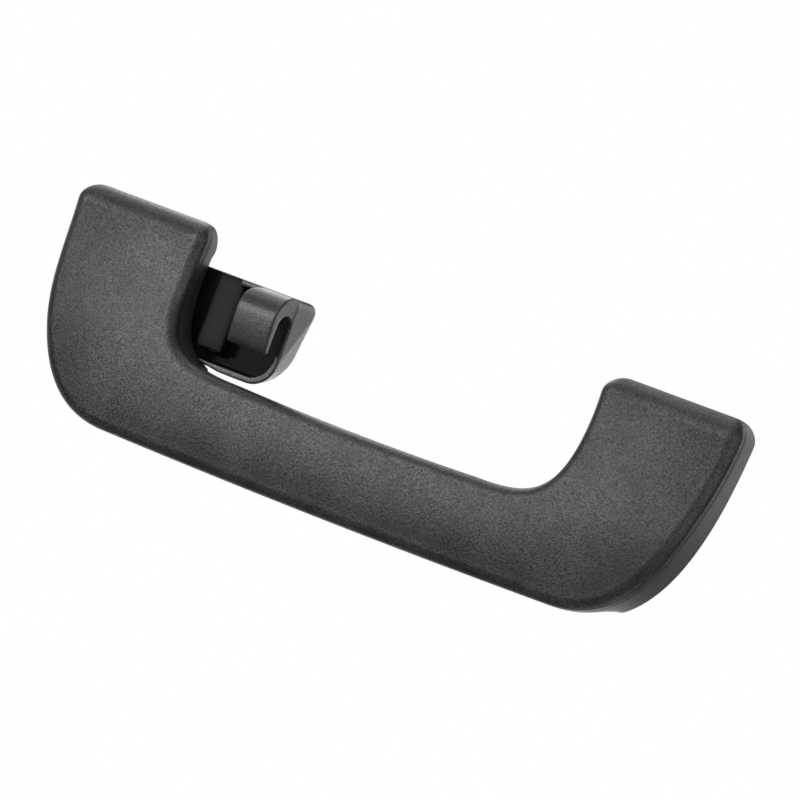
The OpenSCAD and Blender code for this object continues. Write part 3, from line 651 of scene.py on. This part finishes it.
def fillGap(piece, p):
    # closes the small gap between the pocket's floor and the neck
    bm = bmesh.new()
    bm.from_mesh(piece.data)
    corner = {(i, j, k): bm.verts.new((p["filledX"][i] * mm, p["filledY"][j] * mm, p["filledZ"][k] * mm))
              for i in (0, 1) for j in (0, 1) for k in (0, 1)}
    for face in (((0, 0, 0), (0, 0, 1), (0, 1, 1), (0, 1, 0)), ((1, 0, 0), (1, 1, 0), (1, 1, 1), (1, 0, 1)),
                 ((0, 0, 0), (1, 0, 0), (1, 0, 1), (0, 0, 1)), ((0, 1, 0), (0, 1, 1), (1, 1, 1), (1, 1, 0)),
                 ((0, 0, 0), (0, 1, 0), (1, 1, 0), (1, 0, 0)), ((0, 0, 1), (1, 0, 1), (1, 1, 1), (0, 1, 1))):
        bm.faces.new([corner[c] for c in face])
    bm.to_mesh(piece.data)
    bm.free()


def cornerWall(piece, p):
    # an even wall along the rounded corner at the free end, where the pocket comes close to the outside
    bm = bmesh.new()
    bm.from_mesh(piece.data)
    loops = []
    for y in np.linspace(p["wallY"][0], p["wallY"][1], 9):
        share = (p["rearY"] - y) / (p["rearY"] - p["frontY"])
        r, lean = mix(p["rearRadius"], p["frontRadius"], share), mix(p["rearLean"], 0, share)
        x0, z0 = p["endX"] + lean + r, p["topZ"] - r
        angles = np.radians(np.linspace(88, 182, 17))
        ring = [(r - p["wallInset"], a) for a in angles] + [(r - p["wallInset"] - p["wallThick"], a) for a in angles[::-1]]
        loops.append([bm.verts.new(((x0 + q * math.cos(a)) * mm, y * mm, (z0 + q * math.sin(a)) * mm)) for q, a in ring])
    count = len(loops[0])
    faces = [bm.faces.new((a[i], b[i], b[(i + 1) % count], a[(i + 1) % count]))
             for a, b in zip(loops, loops[1:]) for i in range(count)]
    for ring in (loops[0], loops[-1]):
        faces += [bm.faces.new((ring[i], ring[i + 1], ring[count - 2 - i], ring[count - 1 - i])) for i in range(count // 2 - 1)]
    bmesh.ops.recalc_face_normals(bm, faces=faces)
    bm.to_mesh(piece.data)
    bm.free()


def bendTongue(piece, p):
    # the tongue curves back towards its tip, so its face turns away from the light
    for vertex in piece.data.vertices:
        x, y, z = vertex.co / mm
        if y < p["tongueY"] and x < p["tongueTo"]:
            part = max(0, (z - p["bendZ"]) / (p["tipZ"] - p["bendZ"]))
            front = min(1, (p["tongueY"] - y) / 3)
            vertex.co.y += p["tipBack"] * part * part * front * mm


hook = mergedCopy("bracket_hook", "coatHookBracket")
fillGap(hook, hookPiece)
cornerWall(hook, hookPiece)
remesh = hook.modifiers.new("Voxels", "REMESH")
remesh.mode = "VOXEL"
remesh.voxel_size = hookPiece["voxelMm"] * mm
remesh.use_smooth_shade = True
soften = hook.modifiers.new("Soften", "SMOOTH")
soften.factor = 0.5
soften.iterations = hookPiece["smoothing"]
applyModifiers(hook)
for face in hook.data.polygons:
    face.use_smooth = True
bendTongue(hook, hookPiece)
# marks the pocket's faces for painted shade and a smooth finish
markPolishedShade(hook, hookPiece)
place(hook, "mounting", "hook_plastic", hookPlastic, "bracket_hook")
print("coat hook made", len(hook.data.polygons))


# The small hardware keeps the CAD shapes, with smooth faces

def brushedMetal(name, look):
    # Drawn or turned steel: fine lines round the axis, slight sheen
    material, tree = emptyMaterial(name)
    coords = addNode(tree, "ShaderNodeTexCoord").outputs["Object"]
    stretched = addNode(tree, "ShaderNodeMapping", {}, {"Vector": coords, "Scale": look["stretch"]})
    lines = addNode(tree, "ShaderNodeTexNoise", {},
                    {"Vector": stretched.outputs["Vector"], "Scale": 1 / (look["lineMm"] * mm), "Detail": 2.0})
    rough = addNode(tree, "ShaderNodeMapRange", {},
                    {"Value": lines.outputs["Fac"], "From Min": 0.3, "From Max": 0.7,
                     "To Min": look["rough"] - 0.07, "To Max": look["rough"] + 0.07})
    bump = addNode(tree, "ShaderNodeBump", {}, {"Height": lines.outputs["Fac"], "Strength": 0.2, "Distance": 0.01 * mm})
    shader = addNode(tree, "ShaderNodeBsdfPrincipled", {},
                     {"Base Color": linear(look["colour"]), "Metallic": 1.0, "Roughness": rough.outputs["Result"],
                      "Normal": bump.outputs["Normal"]})
    addNode(tree, "ShaderNodeOutputMaterial", {}, {"Surface": shader.outputs["BSDF"]})
    return material


def rubber(name, look):
    # Moulded rubber: dull, with a very fine tooth
    material, tree = emptyMaterial(name)
    coords = addNode(tree, "ShaderNodeTexCoord").outputs["Object"]
    tooth = addNode(tree, "ShaderNodeTexNoise", {}, {"Vector": coords, "Scale": 1 / (0.3 * mm), "Detail": 2.0})
    bump = addNode(tree, "ShaderNodeBump", {}, {"Height": tooth.outputs["Fac"], "Strength": 0.3, "Distance": 0.03 * mm})
    rough = addNode(tree, "ShaderNodeMapRange", {}, {"Value": tooth.outputs["Fac"], "To Min": 0.68, "To Max": 0.82})
    shader = addNode(tree, "ShaderNodeBsdfPrincipled", {},
                     {"Base Color": linear(look["colour"]), "Roughness": rough.outputs["Result"], "IOR": 1.52,
                      "Normal": bump.outputs["Normal"]})
    addNode(tree, "ShaderNodeOutputMaterial", {}, {"Surface": shader.outputs["BSDF"]})
    return material


pinSteel = brushedMetal("DrawnPinSteel", {"colour": "#b6b7b9", "stretch": (0.1, 1, 1), "lineMm": 0.4, "rough": 0.3})
sleeveSteel = brushedMetal("ZincPlatedSteel", {"colour": "#b9b8b2", "stretch": (1, 0.1, 1), "lineMm": 0.5, "rough": 0.38})
springSteel = brushedMetal("SpringWire", {"colour": "#85888c", "stretch": (1, 1, 1), "lineMm": 0.4, "rough": 0.32})
damperPlastic = mouldedPlastic("DamperHousingPlastic",
                               {"dark": "#1f2023", "light": "#26272a", "pit": "#1a1b1d", "grainMm": 0.3,
                                "patchMm": 8, "rough": 0.42, "relief": 0.2, "depthMm": 0.03, "cavity": 0.1})
acetal = mouldedPlastic("NaturalAcetal",
                        {"dark": "#d2cfc4", "light": "#dddacf", "pit": "#c9c6ba", "grainMm": 0.3,
                         "patchMm": 6, "rough": 0.33, "relief": 0.15, "depthMm": 0.02, "cavity": 0.1})
bufferRubber = rubber("BufferRubber", {"colour": "#1c1c1c"})

hardware = {
    "bracket_plain": ("mounting", "bracket", bracketPlastic, 0.25),
    "screw_cover_plain": ("mounting", "bracket", bracketPlastic, 0.2),
    "screw_cover_hook": ("mounting", "bracket", bracketPlastic, 0.2),
    "damper_housing": ("mounting", "damper_plastic", damperPlastic, 0.15),
    "damper_cap": ("mounting", "damper_inner", acetal, 0.1),
    "damper_rotor": ("grip", "damper_inner", acetal, 0.15),
    "damper_seal": ("mounting", "rubber", bufferRubber, 0),
    "stop_buffer_plain": ("mounting", "rubber", bufferRubber, 0.3),
    "stop_buffer_hook": ("mounting", "rubber", bufferRubber, 0.3),
    "sleeve_plain": ("mounting", "sleeve_steel", sleeveSteel, 0.15),
    "sleeve_hook": ("mounting", "sleeve_steel", sleeveSteel, 0.15),
    "hinge_pin_plain": ("grip", "pin_steel", pinSteel, 0),
    "hinge_pin_hook": ("grip", "pin_steel", pinSteel, 0),
}
for nodeName, (body, slotName, material, edgeMm) in hardware.items():
    words = nodeName.split("_")
    piece = mergedCopy(nodeName, words[0] + "".join(w.capitalize() for w in words[1:]))
    if edgeMm:
        flat = piece.modifiers.new("Flat", "DECIMATE")
        flat.decimate_type = "DISSOLVE"
        flat.angle_limit = math.radians(0.5)
        bevel = piece.modifiers.new("Edges", "BEVEL")
        bevel.width = edgeMm * mm
        bevel.segments = 2
        bevel.limit_method = "ANGLE"
        bevel.angle_limit = math.radians(50)
        applyModifiers(piece)
    smoothShade(piece, 30)
    place(piece, body, slotName, material, nodeName)
print("hardware made")


# Return spring: round wire on the path of the CAD spring, by Geometry Nodes

spring = {"wire": 0.7, "coil": 3.35, "turns": 10.5, "start": 106.6, "end": 90.4, "fixedTop": 10.0,
          "movingTop": 10.5, "bend": 1.6, "fixedTail": 1.6, "movingTail": 2.6, "stepsPerTurn": 40}


def springPath(s):
    def leg(x, y, top, out, tail):
        points = [(x + out * s["bend"] * (1 - math.cos(b)), y, top - s["bend"] + s["bend"] * math.sin(b))
                  for b in np.radians(np.linspace(0, 90, 9))]
        return points + [(x + out * (s["bend"] + tail), y, top)]
    top = axisZ + s["fixedTop"]
    points = leg(s["start"], axisY + s["coil"], top, 1, s["fixedTail"])[::-1]
    count = round(s["turns"] * s["stepsPerTurn"])
    for i in range(count + 1):
        a = -2 * math.pi * i / s["stepsPerTurn"]
        x = mix(s["start"], s["end"], i / count)
        points.append((x, axisY + s["coil"] * math.cos(a), axisZ + s["coil"] * math.sin(a)))
    points += leg(s["end"], axisY - s["coil"], axisZ + s["movingTop"], -1, s["movingTail"])
    return points


def wireTree():
    tree = bpy.data.node_groups.new("RoundWire", "GeometryNodeTree")
    tree.interface.new_socket("Geometry", in_out="INPUT", socket_type="NodeSocketGeometry")
    for name, kind, value in (("Wire Radius", "NodeSocketFloat", spring["wire"] * mm), ("Sides", "NodeSocketInt", 14)):
        tree.interface.new_socket(name, in_out="INPUT", socket_type=kind).default_value = value
    tree.interface.new_socket("Material", in_out="INPUT", socket_type="NodeSocketMaterial")
    tree.interface.new_socket("Geometry", in_out="OUTPUT", socket_type="NodeSocketGeometry")
    inputs = addNode(tree, "NodeGroupInput")
    path = addNode(tree, "GeometryNodeMeshToCurve", {}, {"Mesh": inputs.outputs["Geometry"]})
    section = addNode(tree, "GeometryNodeCurvePrimitiveCircle", {},
                      {"Resolution": inputs.outputs["Sides"], "Radius": inputs.outputs["Wire Radius"]})
    wire = addNode(tree, "GeometryNodeCurveToMesh", {},
                   {"Curve": path.outputs["Curve"], "Profile Curve": section.outputs["Curve"], "Fill Caps": True})
    shaded = addNode(tree, "GeometryNodeSetShadeSmooth", {}, {"Geometry": wire.outputs["Mesh"]})
    real = addNode(tree, "GeometryNodeRealizeInstances", {}, {"Geometry": shaded.outputs["Geometry"]})
    painted = addNode(tree, "GeometryNodeSetMaterial", {},
                      {"Geometry": real.outputs["Geometry"], "Material": inputs.outputs["Material"]})
    addNode(tree, "NodeGroupOutput", {}, {"Geometry": painted.outputs["Geometry"]})
    return tree


def makeSpring():
    points = springPath(spring)
    mesh = bpy.data.meshes.new("returnSpring")
    mesh.from_pydata([tuple(c * mm for c in p) for p in points], [(i, i + 1) for i in range(len(points) - 1)], [])
    piece = bpy.data.objects.new("returnSpring", mesh)
    scene.collection.objects.link(piece)
    modifier = piece.modifiers.new("Wire", "NODES")
    modifier.node_group = wireTree()
    named = {item.name: item.identifier for item in modifier.node_group.interface.items_tree
             if item.in_out == "INPUT" and item.socket_type != "NodeSocketGeometry"}
    modifier[named["Wire Radius"]] = spring["wire"] * mm
    modifier[named["Sides"]] = 14
    modifier[named["Material"]] = springSteel
    applyModifiers(piece)
    piece.data.materials.clear()
    piece.data.materials.append(springSteel)
    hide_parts("return_spring")
    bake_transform(piece)


makeSpring()
print("spring made")
